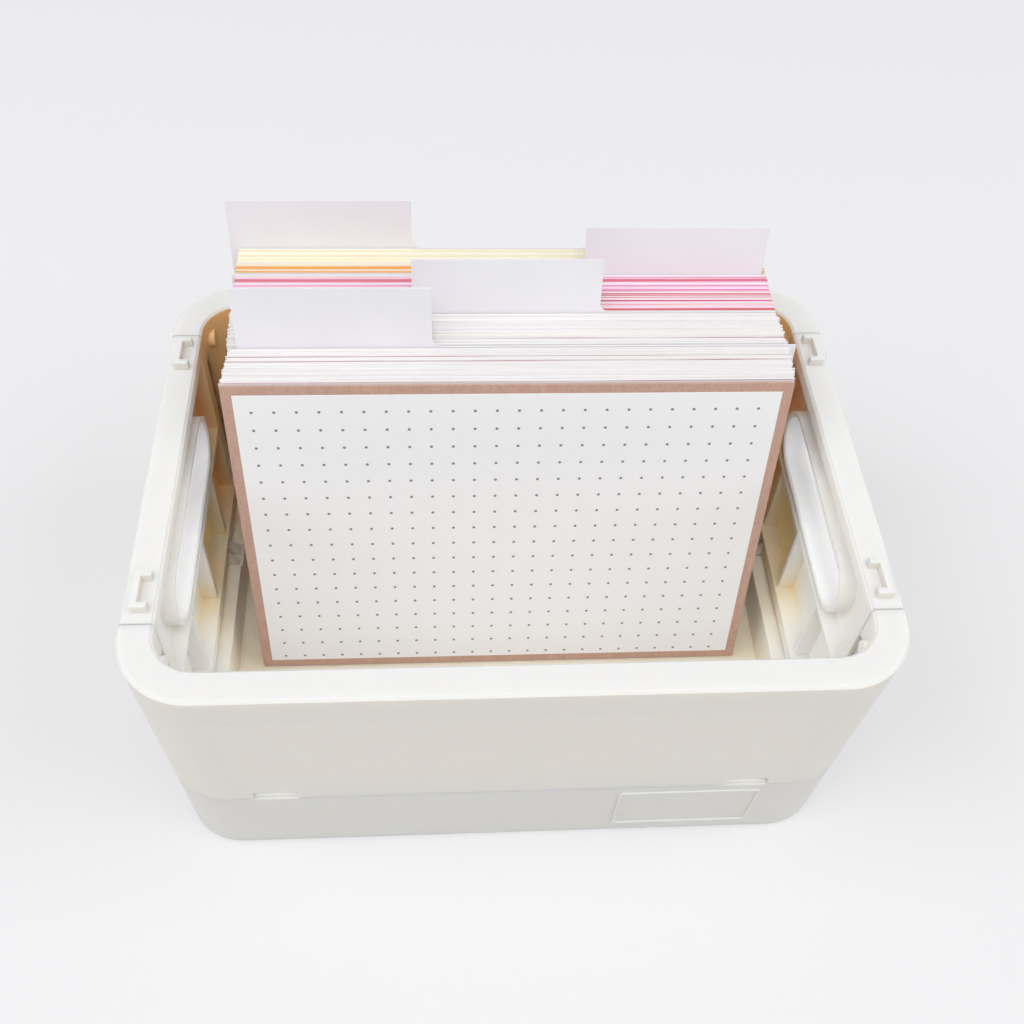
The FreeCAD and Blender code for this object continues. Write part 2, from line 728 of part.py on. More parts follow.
def cut_end_bays(wall, side):
    """Bays below the hand hole, open inwards, with upright ribs between them."""
    bays = new_sketch(wall, "YZ_Plane", inner_half_length * side)
    edge = end_wall_half_width - size["side_frame"]
    middles = [size["rib_pitch"] * (rib - (END_RIBS - 1) / 2) for rib in range(END_RIBS)]
    half_rib = size["rib"] / 2
    lows = [-edge] + [y + half_rib for y in middles]
    highs = [y - half_rib for y in middles] + [edge]
    for low, high in zip(lows, highs):
        draw_rectangle(bays, low, high, size["bay_floor_z"], web_top_z - size["web"])
    pocket(wall, bays, size["bay_depth"], reverse=side == RIGHT)


def cut_end_recess(wall, side):
    """The recess between web and rim flange; a collar round the hand hole stands in it."""
    recess = new_sketch(wall, "YZ_Plane", inner_half_length * side)
    edge = end_wall_half_width - size["side_frame"]
    draw_rectangle(recess, -edge, edge, web_top_z, end_flange_z)
    length = hole_length + size["collar"] * 2
    height = size["hole_height"] + size["collar"] * 2
    draw_stadium(recess, length, height, 0, hole_middle_z)
    pocket(wall, recess, size["bay_depth"], reverse=side == RIGHT)


def cut_hand_hole(wall, side):
    hole = new_sketch(wall, "YZ_Plane")
    draw_stadium(hole, hole_length, size["hole_height"], 0, hole_middle_z)
    pocket(wall, hole, size["box_length"], reverse=side == RIGHT)
    half_height = size["hole_height"].value / 2
    half_hole = hole_length.value / 2

    def on_hole(middle, edge):
        within = abs(middle.z - hole_middle_z.value) <= half_height + 0.01
        runs_along = edge.BoundBox.YLength > 1
        at_hole = abs(middle.y) <= half_hole + 0.01
        return within and at_hole and runs_along

    chamfer_edges(wall, size["hole_edge"], on_hole)


def add_end_hinge(wall, side):
    """The notches that the tray's clips stand in, open inwards and below, and the pins."""
    axis_x = end_hinge_x * side
    for y in end_clip_places:
        notch = new_sketch(wall, "XZ_Plane", -y)
        inner = (end_foot_x - size["skin"]) * side
        outer = (end_hinge_x + end_hinge.notch_radius) * side
        foot = end_wall_foot_z - size["seat_gap"] * 2
        top = end_hinge_z + end_hinge.notch_radius
        draw_rectangle(notch, *in_order(inner, outer), foot, top)
        pocket(wall, notch, end_hinge.notch_width, both_ways=True)
        pin = new_sketch(wall, "XZ_Plane", -y)
        draw_circle(pin, axis_x, end_hinge_z, end_hinge.pin_radius)
        pad(wall, pin, end_hinge.notch_width + size["skin"], both_ways=True)


def add_rim_lugs(wall, side):
    """Raised lugs near both ends of the rim, shaped like a bracket that is open inwards."""
    arm = size["lug_wall"]
    outer = half_length - size["lug_inset"]
    inner = outer - size["lug_width"]
    lugs = new_sketch(wall, "XY_Plane", size["box_height"] - size["skin"])
    for place in (FRONT, REAR):
        middle = (end_wall_half_width - size["lug_margin"]) * place
        front = middle - size["lug_length"] / 2
        rear = front + size["lug_length"]
        corners = [
            (inner * side, rear),
            (inner * side, rear - arm),
            ((outer - arm) * side, rear - arm),
            ((outer - arm) * side, front + arm),
            (inner * side, front + arm),
            (inner * side, front),
            (outer * side, front),
            (outer * side, rear),
        ]
        draw_polygon(lugs, corners)
    pad(wall, lugs, size["skin"] + size["lug_height"])


def make_end_wall(label, side):
    wall = new_body(label)
    section = new_sketch(wall, "XZ_Plane")
    draw_end_section(section, side)
    pad(wall, section, end_wall_half_width * 2, both_ways=True)
    chamfer_edges(wall, size["rim_edge"], on_rim)
    round_edges(wall, size["end_barrel_radius"], at_foot)
    cut_hand_hole(wall, side)
    cut_end_recess(wall, side)
    cut_end_bays(wall, side)
    add_end_hinge(wall, side)
    add_rim_lugs(wall, side)
    return wall


# Cards and dividers

lean = size["card_lean"]
card_foot_z = size["floor_top"] + size["card_lift"]
card_pitch = size["card_thickness"] + size["card_air"]
stack_and_divider_gaps = size["card_gap"] * 2 + size["divider_thickness"]
pack_depth = (
    size["front_card_thickness"] + card_pitch * sum(STACK_COUNTS.values())
    + stack_and_divider_gaps * len(STACK_COUNTS)
)

# The pack is placed from the rear: its top leans back to just before the rear rim
pack_rear_y = inner_half_depth - size["pack_gap"] - (size["box_height"] - card_foot_z) * lean.tangent()
card_front_y = pack_rear_y - pack_depth / lean.cosine()


def lean_back(piece, depth, x=0):
    """Stand a piece on the floor, leaning back, at a depth measured square to the cards."""
    piece.Placement = FreeCAD.Placement(Vector(0, 0, 0), FreeCAD.Rotation(ACROSS, -lean.value))
    bind(piece, "Placement.Base.x", x)
    bind(piece, "Placement.Base.y", card_front_y + depth / lean.cosine())
    bind(piece, "Placement.Base.z", card_foot_z)
    bind(piece, "Placement.Rotation.Angle", -lean)


def make_front_card(depth):
    card = doc.addObject("Part::Box", "front_card")
    card.Label = "front_card"
    bind(card, "Length", size["card_width"])
    bind(card, "Width", size["front_card_thickness"])
    bind(card, "Height", size["card_height"])
    lean_back(card, depth, x=-(size["card_width"] / 2))
    return card


def make_stack(letter, depth):
    """A stack of separate cards, each a little out of line with the next."""
    cards = []
    for number in range(STACK_COUNTS[letter]):
        card = doc.addObject("Part::Box", f"card_{letter}")
        bind(card, "Length", size["card_width"])
        bind(card, "Width", size["card_thickness"])
        bind(card, "Height", size["card_height"])
        swing = math.sin(number * 2.4 + ord(letter)) * math.cos(number * 0.7)
        x = size["card_ragged"] * swing - size["card_width"] / 2
        if (letter, number) == STRAY_CARD:
            x = x + size["stray_reach"]
        lean_back(card, depth + card_pitch * number, x=x)
        cards.append(card)
    stack = doc.addObject("Part::Compound", f"flashcards_{letter}")
    stack.Label = f"flashcards_{letter}"
    stack.Links = cards
    return stack


def make_divider(letter, depth):
    """A divider: a card outline with a tab on top, hollow at the tab's feet."""
    divider = new_body(f"divider_{letter}")
    outline = new_sketch(divider, "XZ_Plane")
    place, tab_height, shift = DIVIDERS[letter]
    half_width = size["card_width"] / 2
    half_tab = size["tab_width"] / 2
    tab_middle = (half_width - half_tab) * place
    shoulder = size["card_height"]
    top = shoulder + tab_height
    corners = [(-half_width, 0), (half_width, 0)]
    if place != RIGHT:
        corners += [(half_width, shoulder), (tab_middle + half_tab, shoulder)]
    corners += [(tab_middle + half_tab, top), (tab_middle - half_tab, top)]
    if place != LEFT:
        corners += [(tab_middle - half_tab, shoulder), (-half_width, shoulder)]
    draw_polygon(outline, corners)
    pad(divider, outline, size["divider_thickness"], reverse=True)

    def through(middle, edge):
        return near(edge.BoundBox.YLength, size["divider_thickness"])

    def tab_foot(middle, edge):
        inside = abs(middle.x) < half_width.value - size["tab_hollow"].value
        return through(middle, edge) and near(middle.z, shoulder) and inside

    def tab_corner(middle, edge):
        return through(middle, edge) and near(middle.z, top)

    round_edges(divider, size["tab_hollow"], tab_foot)
    round_edges(divider, size["tab_round"], tab_corner)
    lean_back(divider, depth, x=shift)
    return divider


def make_cards():
    """Front card, then each stack with its divider behind it; returns the pieces in order."""
    gap = size["card_gap"]
    depth = as_size(0)
    pieces = [make_front_card(depth)]
    depth = depth + size["front_card_thickness"] + gap
    for letter, count in STACK_COUNTS.items():
        pieces.append(make_stack(letter, depth))
        depth = depth + card_pitch * count + gap
        pieces.append(make_divider(letter, depth))
        depth = depth + size["divider_thickness"] + gap
    return pieces


# Checks before anything is written

def check_objects():
    for item in doc.Objects:
        if "Invalid" in item.State or "Error" in item.State:
            raise RuntimeError(f"{item.Label} is {item.State}")
        if item.TypeId == "PartDesign::Pocket":
            before = item.BaseFeature.Shape.Volume
            if item.Shape.Volume > before - 0.01:
                raise RuntimeError(f"{item.Label} cuts nothing")
        if item.TypeId == "PartDesign::Pad" and item.BaseFeature is not None:
            before = item.BaseFeature.Shape.Volume
            if item.Shape.Volume < before + 0.01:
                raise RuntimeError(f"{item.Label} adds nothing")


def check_shape(piece):
    shape = piece.Shape
    if shape.isNull() or not shape.isValid():
        raise RuntimeError(f"{piece.Label} has no valid shape")
    if not shape.Solids:
        raise RuntimeError(f"{piece.Label} has no solid")


def write(pieces):
    os.makedirs("parts", exist_ok=True)
    for piece in pieces:
        piece.Shape.exportStep(f"parts/{piece.Label}.step")
        box = piece.Shape.BoundBox
        print(
            f"{piece.Label}: {len(piece.Shape.Solids)} solid, {piece.Shape.Volume / 1000:.2f} cm3,"
            f" x {box.XMin:.2f} {box.XMax:.2f}, y {box.YMin:.2f} {box.YMax:.2f},"
            f" z {box.ZMin:.2f} {box.ZMax:.2f}"
        )


def main():
    pieces = [
        make_base_tray(),
        make_long_wall("front_wall", FRONT),
        make_long_wall("rear_wall", REAR),
        make_end_wall("end_wall_left", LEFT),
        make_end_wall("end_wall_right", RIGHT),
    ]
    pieces += make_cards()
    doc.recompute()
    check_objects()
    for piece in pieces:
        check_shape(piece)
    write(pieces)


main()
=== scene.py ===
"""Looks of the folding card crate: moulded plastic walls, ruled paper stacks, dividers and a dot-grid card.

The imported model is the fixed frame. Its plastic nodes stay and get their plastic. The cards are modelled here,
one by one, in the places that their nodes hold.
"""

import logging
import math
import random
from collections.abc import Callable, Iterator, Sequence
from contextlib import contextmanager
from dataclasses import dataclass
from enum import Enum

import bpy
from mathutils import Matrix, Vector


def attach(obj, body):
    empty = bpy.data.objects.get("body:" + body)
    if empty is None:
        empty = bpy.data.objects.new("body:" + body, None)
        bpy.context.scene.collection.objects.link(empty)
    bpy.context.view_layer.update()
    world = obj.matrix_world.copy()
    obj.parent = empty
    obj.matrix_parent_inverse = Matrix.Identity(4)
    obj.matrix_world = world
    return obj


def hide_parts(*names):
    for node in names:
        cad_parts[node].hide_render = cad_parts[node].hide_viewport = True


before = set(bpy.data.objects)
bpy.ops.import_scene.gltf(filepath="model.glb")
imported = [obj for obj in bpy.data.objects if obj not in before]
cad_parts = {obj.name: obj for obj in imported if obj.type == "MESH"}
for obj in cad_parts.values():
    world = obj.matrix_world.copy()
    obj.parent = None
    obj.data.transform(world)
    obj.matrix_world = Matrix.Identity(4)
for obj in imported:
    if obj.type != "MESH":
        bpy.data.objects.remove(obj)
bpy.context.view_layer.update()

LOG = logging.getLogger("card_crate")
MM = 0.001

# A face looks along an axis where its normal's share on that axis is larger than this.
SQUARE_ON = 0.9

Socket = bpy.types.NodeSocket
Colour = tuple[float, float, float]


def srgb(red: int, green: int, blue: int) -> Colour:
    """Turn a colour as it looks on a screen into the linear colour that a shader takes.

    Args:
        red: Red, from 0 to 255.
        green: Green, from 0 to 255.
        blue: Blue, from 0 to 255.

    Returns:
        The same colour in linear values from 0 to 1.
    """
    linear = []
    for level in (red, green, blue):
        share = level / 255
        linear.append(share / 12.92 if share <= 0.04045 else ((share + 0.055) / 1.055) ** 2.4)
    return linear[0], linear[1], linear[2]


class Ink(Enum):
    """Print that shows on the cut edge of a card."""

    NONE = (238, 236, 236)
    GREY = (218, 212, 214)
    BROWN = (170, 128, 130)
    LILAC = (238, 206, 226)
    ROSE = (222, 100, 128)
    RED = (205, 16, 46)
    MAGENTA = (208, 90, 178)
    APRICOT = (232, 180, 128)
    GOLD = (228, 152, 0)
    YELLOW = (236, 222, 150)
    STRAW = (237, 232, 216)


INK_LETTERS = {
    ".": Ink.NONE, "g": Ink.GREY, "b": Ink.BROWN, "l": Ink.LILAC, "o": Ink.ROSE, "r": Ink.RED, "m": Ink.MAGENTA,
    "a": Ink.APRICOT, "G": Ink.GOLD, "y": Ink.YELLOW, "s": Ink.STRAW,
}

# The print of one card often runs into another hue along its edge: the other ink and its largest share.
DRIFT = {
    Ink.NONE: (Ink.NONE, 0.0), Ink.GREY: (Ink.NONE, 0.8), Ink.BROWN: (Ink.GREY, 0.9), Ink.LILAC: (Ink.MAGENTA, 0.35),
    Ink.ROSE: (Ink.MAGENTA, 0.9), Ink.RED: (Ink.MAGENTA, 0.25), Ink.MAGENTA: (Ink.ROSE, 0.9),
    Ink.APRICOT: (Ink.ROSE, 0.8), Ink.GOLD: (Ink.GOLD, 0.0), Ink.YELLOW: (Ink.APRICOT, 0.4),
    Ink.STRAW: (Ink.YELLOW, 0.3),
}


@dataclass(frozen=True)
class Lean:
    """How the pack of cards leans back in the crate."""

    angle: float = math.radians(11.84)
    foot_y: float = -10.75 * MM
    foot_z: float = 3.45 * MM

    @property
    def across(self) -> Vector:
        """Return the direction square to the cards, towards the rear."""
        return Vector((0, math.cos(self.angle), -math.sin(self.angle)))

    def matrix(self, depth: float = 0.0) -> Matrix:
        """Give the place of a card whose front lies at a depth behind the front card's front.

        Args:
            depth: Distance square to the cards, in metres.

        Returns:
            The matrix that stands an upright card there, on the floor of the tray.
        """
        foot = Vector((0, self.foot_y + depth / math.cos(self.angle), self.foot_z))
        return Matrix.Translation(foot) @ Matrix.Rotation(-self.angle, 4, "X")


LEAN = Lean()


def seen_by_eye(tree: bpy.types.NodeTree) -> Socket:
    """Return 1 for rays that show a surface or the sky to the eye, straight on or in gloss or glass."""
    path = tree.nodes.new("ShaderNodeLightPath")
    seen = path.outputs["Is Camera Ray"]
    for kind in ("Is Glossy Ray", "Is Transmission Ray"):
        either = tree.nodes.new("ShaderNodeMath")
        either.operation = "MAXIMUM"
        tree.links.new(seen, either.inputs[0])
        tree.links.new(path.outputs[kind], either.inputs[1])
        seen = either.outputs["Value"]
    return seen


class Recipe:
    """The node tree of one material while it is put together."""

    def __init__(self, name: str) -> None:
        """Start a material with one Principled shader.

        Args:
            name: The material's name.
        """
        self.material = bpy.data.materials.new(name)
        self.material.use_nodes = True
        self.nodes = self.material.node_tree.nodes
        self.links = self.material.node_tree.links
        self.nodes.clear()
        output = self.nodes.new("ShaderNodeOutputMaterial")
        self.shader = self.nodes.new("ShaderNodeBsdfPrincipled")
        self.links.new(self.shader.outputs["BSDF"], output.inputs["Surface"])
        self.place = self.nodes.new("ShaderNodeTexCoord").outputs["Object"]

    def set(self, **sockets: float | Colour) -> None:
        """Set constant values on the shader's own sockets.

        Args:
            sockets: Values by socket name, with underscores for spaces.
        """
        for name, value in sockets.items():
            socket = self.shader.inputs[name.replace("_", " ")]
            if socket.type == "RGBA":
                value = (*value, 1.0)
            socket.default_value = value

    def feed(self, socket: str, source: Socket) -> None:
        """Link a source to one of the shader's sockets."""
        self.links.new(source, self.shader.inputs[socket])

    def noise(self, size: float, detail: float = 2.0, roughness: float = 0.5,
              stretch: Colour = (1.0, 1.0, 1.0), place: Socket | None = None) -> Socket:
        """Add soft noise.

        Args:
            size: Width of one blotch in metres.
            detail: How many finer layers lie over it.
            roughness: How strong the finer layers are.
            stretch: Scale along X, Y and Z, where a smaller number gives a longer blotch.
            place: Coordinates, or None for the piece's own.

        Returns:
            The noise, from 0 to 1.
        """
        mapping = self.nodes.new("ShaderNodeMapping")
        mapping.inputs["Scale"].default_value = [s / size for s in stretch]
        self.links.new(place or self.place, mapping.inputs["Vector"])
        texture = self.nodes.new("ShaderNodeTexNoise")
        texture.inputs["Scale"].default_value = 1.0
        texture.inputs["Detail"].default_value = detail
        texture.inputs["Roughness"].default_value = roughness
        self.links.new(mapping.outputs["Vector"], texture.inputs["Vector"])
        return texture.outputs["Fac"]

    def maths(self, operation: str, *values: Socket | float) -> Socket:
        """Add a Math node.

        Args:
            operation: The node's operation.
            values: Its inputs, as sockets or numbers.

        Returns:
            The result.
        """
        node = self.nodes.new("ShaderNodeMath")
        node.operation = operation
        for socket, value in zip(node.inputs, values):
            if isinstance(value, (int, float)):
                socket.default_value = value
            else:
                self.links.new(value, socket)
        return node.outputs["Value"]

    def ramp(self, value: Socket, start: float, end: float, low: float = 0.0, high: float = 1.0) -> Socket:
        """Turn a stretch of values into a smooth step.

        Args:
            value: What is measured.
            start: Where the step starts.
            end: Where it ends.
            low: Result before the step.
            high: Result after it.

        Returns:
            The stepped value.
        """
        node = self.nodes.new("ShaderNodeMapRange")
        node.interpolation_type = "SMOOTHSTEP"
        if start > end:
            start, end, low, high = end, start, high, low
        node.inputs["From Min"].default_value = start
        node.inputs["From Max"].default_value = end
        node.inputs["To Min"].default_value = low
        node.inputs["To Max"].default_value = high
        self.links.new(value, node.inputs["Value"])
        return node.outputs["Result"]

    def mix(self, factor: Socket, low: Socket | Colour, high: Socket | Colour) -> Socket:
        """Mix two colours.

        Args:
            factor: Share of the second colour.
            low: The first colour.
            high: The second colour.

        Returns:
            The mixed colour.
        """
        node = self.nodes.new("ShaderNodeMix")
        node.data_type = "RGBA"
        self.links.new(factor, node.inputs["Factor"])
        for name, colour in (("A", low), ("B", high)):
            socket = next(s for s in node.inputs if s.name == name and s.type == "RGBA")
            if isinstance(colour, tuple):
                socket.default_value = (*colour, 1.0)
            else:
                self.links.new(colour, socket)
        return next(s for s in node.outputs if s.type == "RGBA")

    def axes(self, place: Socket | None = None) -> tuple[Socket, Socket, Socket]:
        """Return the X, Y and Z of the piece's own coordinates, or of others that are given."""
        node = self.nodes.new("ShaderNodeSeparateXYZ")
        self.links.new(place or self.place, node.inputs["Vector"])
        return node.outputs["X"], node.outputs["Y"], node.outputs["Z"]

    def card_place(self) -> Socket:
        """Return coordinates in metres that lie flat on the leaning front card: X across it and Z up along it."""
        mapping = self.nodes.new("ShaderNodeMapping")
        mapping.vector_type = "TEXTURE"
        mapping.inputs["Location"].default_value = LEAN.matrix().translation
        mapping.inputs["Rotation"].default_value = (-LEAN.angle, 0.0, 0.0)
        self.links.new(self.place, mapping.inputs["Vector"])
        return mapping.outputs["Vector"]

    def attribute(self, name: str) -> bpy.types.Node:
        """Return a node that reads one of the mesh's own attributes."""
        node = self.nodes.new("ShaderNodeAttribute")
        node.attribute_name = name
        return node

    def within(self, *masks: Socket) -> Socket:
        """Multiply masks, so that the result is 1 only where all of them are."""
        shared = masks[0]
        for mask in masks[1:]:
            shared = self.maths("MULTIPLY", shared, mask)
        return shared

    def length(self, one: Socket, other: Socket) -> Socket:
        """Return the length of the slope between two distances square to each other."""
        return self.maths("SQRT", self.maths(
            "ADD", self.maths("MULTIPLY", one, one), self.maths("MULTIPLY", other, other)))

    def normal(self) -> tuple[Socket, Socket, Socket]:
        """Return the X, Y and Z of the direction that the surface faces."""
        return self.axes(self.nodes["Texture Coordinate"].outputs["Normal"])

    def facing_front_or_back(self) -> Socket:
        """Say how squarely a surface faces along the pack: 1 on a card's broad faces, 0 on its top and ends."""
        _, back, up = self.normal()
        across = LEAN.across
        return self.maths("ABSOLUTE", self.maths(
            "ADD", self.maths("MULTIPLY", back, across.y), self.maths("MULTIPLY", up, across.z)))

    def bump(self, height: Socket, depth: float, strength: float = 1.0, under: Socket | None = None) -> Socket:
        """Add relief to the surface.

        Args:
            height: The relief, from 0 to 1.
            depth: What a height of 1 stands for, in metres.
            strength: How strongly it shows.
            under: A normal that the relief lies on.

        Returns:
            The new normal.
        """
        node = self.nodes.new("ShaderNodeBump")
        node.inputs["Strength"].default_value = strength
        node.inputs["Distance"].default_value = depth
        self.links.new(height, node.inputs["Height"])
        if under is not None:
            self.links.new(under, node.inputs["Normal"])
        return node.outputs["Normal"]


@dataclass(frozen=True)
class Hull:
    """The drafted outside of the crate, from which it is told how deep behind the skin a surface lies."""

    half_length: float = 82.0 * MM
    half_width: float = 60.5 * MM
    height: float = 75.5 * MM
    corner: float = 16.4 * MM
    inset: float = 2.3 * MM
    skin: float = 0.7 * MM
    rim: float = 0.9 * MM
    hole_half: float = 20.15 * MM
    hole_middle: float = 56.7 * MM
    hole_radius: float = 7.6 * MM
    hole_edge: float = 0.4 * MM
    foot: float = 0.2 * MM
    foot_end: float = 0.6 * MM
    rim_top: float = 0.2 * MM

    def inside(self, recipe: Recipe) -> Socket:
        """Tell the inner surfaces of the crate from its skin, its rim and the lining of its hand holes.

        Args:
            recipe: The material's recipe.

        Returns:
            1 on inner surfaces and 0 on the others.
        """
        x, y, z = recipe.axes()
        drawn_in = recipe.maths("MULTIPLY", recipe.maths("SUBTRACT", self.height, z), self.inset / self.height)
        outwards = []
        for place, half in ((x, self.half_length), (y, self.half_width)):
            beyond = recipe.maths("SUBTRACT", recipe.maths("ABSOLUTE", place), half - self.corner)
            outwards.append(recipe.maths("ADD", beyond, drawn_in))
        corner = recipe.length(*[recipe.maths("MAXIMUM", reach, 0.0) for reach in outwards])
        flat = recipe.maths("MINIMUM", recipe.maths("MAXIMUM", *outwards), 0.0)
        depth = recipe.maths("SUBTRACT", self.corner, recipe.maths("ADD", corner, flat))
        return recipe.within(
            recipe.ramp(depth, self.skin, 1.5 * self.skin),
            recipe.ramp(z, self.height - self.rim_top, self.height - self.rim),
            recipe.ramp(z, self.foot, self.foot_end),
            self.beside_hole(recipe),
        )

    def beside_hole(self, recipe: Recipe) -> Socket:
        """Return 0 inside the outline of the hand holes and 1 beside it."""
        _, y, z = recipe.axes()
        past_end = recipe.maths("SUBTRACT", recipe.maths("ABSOLUTE", y), self.hole_half)
        past_end = recipe.maths("MAXIMUM", past_end, 0.0)
        distance = recipe.length(past_end, recipe.maths("SUBTRACT", z, self.hole_middle))
        return recipe.ramp(distance, self.hole_radius, self.hole_radius + self.hole_edge)


@dataclass(frozen=True)
class MouldedPlastic:
    """Satin polypropylene with a fine spark-eroded grain and faint sink marks over its ribs.

    The plastic is a little translucent. Light and shade are painted into its colour: the outside is painted paler
    and more neutral where it faces up and in a warmer shade on its upright faces, the hand holes are lined in
    painted light, and the inner surfaces are painted pale in front of the cards, in a tan shade beside and below
    them where the pack's shadow falls and in a deeper umber shade behind them. The painted shade is left off the
    hinge notches at the foot of the rear wall, which are open to the light.
    """

    name: str
    colour: Colour
    # Painted shade: the colour of the upright outer faces, warmer than the paler colour painted on what faces up.
    upright_painted_shade: Colour
    # Painted light: the inner surfaces in front of the cards, paler than the outside.
    inner_painted_light: Colour
    # Painted shade: the pack's shadow beside and below the cards.
    inner_painted_shade: Colour
    # Painted light: the lining of the hand holes, almost white for the light that comes through them.
    hole_painted_light: Colour = srgb(255, 253, 250)
    # Painted shade: the deeper shadow behind the cards.
    rear_painted_shade: Colour = srgb(240, 204, 146)
    cloud: float = 46.0 * MM
    cloud_share: float = 0.5
    side_up: float = 0.2
    top_up: float = 0.9
    # Where the painted shadow of the pack starts and where it is full, measured back along the crate.
    shadow_start_y: float = -4.0 * MM
    shadow_full_y: float = 24.0 * MM
    shadow_blotch: float = 15.0 * MM
    shadow_blotch_reach: float = 12.0 * MM
    shade_foot: float = 40.0 * MM
    shade_slope: float = 0.9
    # Where the deeper painted shade behind the cards starts and where it is full.
    rear_shade_start: float = 18.0 * MM
    rear_shade_end: float = 46.0 * MM
    # The hinge notches, where the painted shade is left off.
    notch_y: float = 40.0 * MM
    notch_top: float = 30.0 * MM
    roughness: float = 0.42
    polished: float = -0.05
    scuffed: float = 0.08
    scuff: float = 9.0 * MM
    glow: float = 0.6
    glow_colours: Colour = (1.0, 0.78, 0.56)
    glow_reach: float = 4.0 * MM
    grain: float = 0.28 * MM
    grain_depth: float = 0.012 * MM
    rib_pitch: float = 21.0 * MM
    sink_width: float = 2.6 * MM
    sink_depth: float = 0.05 * MM
    sink_low: float = 37.5 * MM
    sink_high: float = 66.0 * MM
    sink_end: float = 2.0 * MM
    sinks: bool = False

    def material(self) -> bpy.types.Material:
        """Build the plastic.

        Returns:
            The finished material.
        """
        recipe = Recipe(self.name)
        # Painted light and shade outside: paler on what faces up, a warmer painted shade on the upright faces.
        outer_light_and_shade = self.outer_painted_light_and_shade(recipe)
        # Painted light and shade inside: pale in front of the cards, the pack's painted shadow beside and behind
        # them.
        inner_light_and_shade = self.inner_painted_light_and_shade(recipe)
        hull = Hull()
        # Painted light on the lining of the hand holes.
        skin = recipe.mix(hull.beside_hole(recipe), self.hole_painted_light, outer_light_and_shade)
        # The inner surfaces take the painted light and shade, the skin and rim the outer colours.
        recipe.feed("Base Color", recipe.mix(hull.inside(recipe), skin, inner_light_and_shade))
        wear = recipe.noise(self.scuff, detail=6, roughness=0.65)
        recipe.feed("Roughness", recipe.ramp(
            wear, 0.3, 0.75, self.roughness + self.polished, self.roughness + self.scuffed))
        recipe.set(
            IOR=1.49, Specular_IOR_Level=0.42, Subsurface_Weight=self.glow, Subsurface_Radius=self.glow_colours,
            Subsurface_Scale=self.glow_reach,
        )
        normal = None
        if self.sinks:
            normal = recipe.bump(self.sink_marks(recipe), self.sink_depth)
        grain = recipe.noise(self.grain, detail=2)
        recipe.feed("Normal", recipe.bump(grain, self.grain_depth, under=normal))
        return recipe.material

    def outer_painted_light_and_shade(self, recipe: Recipe) -> Socket:
        """Paint light and shade on the outside: a paler, more neutral colour on what faces up and a warmer painted
        shade on the upright faces, clouded between them.

        Args:
            recipe: The material's recipe.

        Returns:
            The colour.
        """
        _, _, up = recipe.normal()
        noise = recipe.noise(self.cloud, detail=3)
        cloud = recipe.maths("MULTIPLY", recipe.maths("SUBTRACT", noise, 0.5), self.cloud_share)
        # Painted light on what faces up against painted shade on the upright faces.
        painted_top_light = recipe.ramp(recipe.maths("ADD", up, cloud), self.side_up, self.top_up)
        return recipe.mix(painted_top_light, self.upright_painted_shade, self.colour)

    def inner_painted_light_and_shade(self, recipe: Recipe) -> Socket:
        """Paint light and shade on the inside: pale in front, a tan painted shade beside the cards, a deeper umber
        painted shade behind them, pale again in the notches.

        Args:
            recipe: The material's recipe.

        Returns:
            The colour.
        """
        # Painted shadow of the pack beside and below the cards.
        beside = recipe.mix(self.painted_pack_shadow(recipe), self.inner_painted_light, self.inner_painted_shade)
        _, y, z = recipe.axes()
        # Deeper painted shade behind the cards.
        behind_shade = recipe.mix(recipe.ramp(y, self.rear_shade_start, self.rear_shade_end), beside, self.rear_painted_shade)
        notch = recipe.within(
            recipe.ramp(y, self.notch_y - 1 * MM, self.notch_y),
            recipe.ramp(z, self.notch_top + 1 * MM, self.notch_top),
        )
        return recipe.mix(notch, behind_shade, self.inner_painted_light)

    def painted_pack_shadow(self, recipe: Recipe) -> Socket:
        """Say how far the painted shadow of the pack reaches over the inner surfaces, more to the rear and further
        down.

        Args:
            recipe: The material's recipe.

        Returns:
            0 where they are painted pale and 1 where they are painted in the pack's shade.
        """
        _, y, z = recipe.axes()
        # A blotchy, sloping edge for the painted shadow of the pack.
        noise = recipe.noise(self.shadow_blotch, detail=3)
        patchy = recipe.maths("MULTIPLY", recipe.maths("SUBTRACT", noise, 0.5), self.shadow_blotch_reach)
        raised = recipe.maths("MULTIPLY", recipe.maths("SUBTRACT", z, self.shade_foot), self.shade_slope)
        shaded = recipe.maths("SUBTRACT", recipe.maths("ADD", y, patchy), raised)
        return recipe.ramp(shaded, self.shadow_start_y, self.shadow_full_y)

    def sink_marks(self, recipe: Recipe) -> Socket:
        """Draw the shallow dips where the ribs behind a wall have shrunk.

        Args:
            recipe: The material's recipe.

        Returns:
            The relief, 1 on the wall and 0 in the dips.
        """
        x, _, z = recipe.axes()
        half_width = self.sink_width / 2
        upright = recipe.ramp(recipe.maths("PINGPONG", x, self.rib_pitch / 2), 0.0, half_width)
        above = recipe.ramp(z, self.sink_high, self.sink_high + self.sink_end)
        below = recipe.ramp(z, self.sink_low, self.sink_low - self.sink_end)
        from_flange = recipe.maths("ABSOLUTE", recipe.maths("SUBTRACT", z, self.sink_high))
        flange = recipe.ramp(from_flange, 0.0, half_width)
        no_rib = recipe.maths("MAXIMUM", recipe.maths("MAXIMUM", upright, above), below)
        return recipe.maths("MULTIPLY", no_rib, flange)


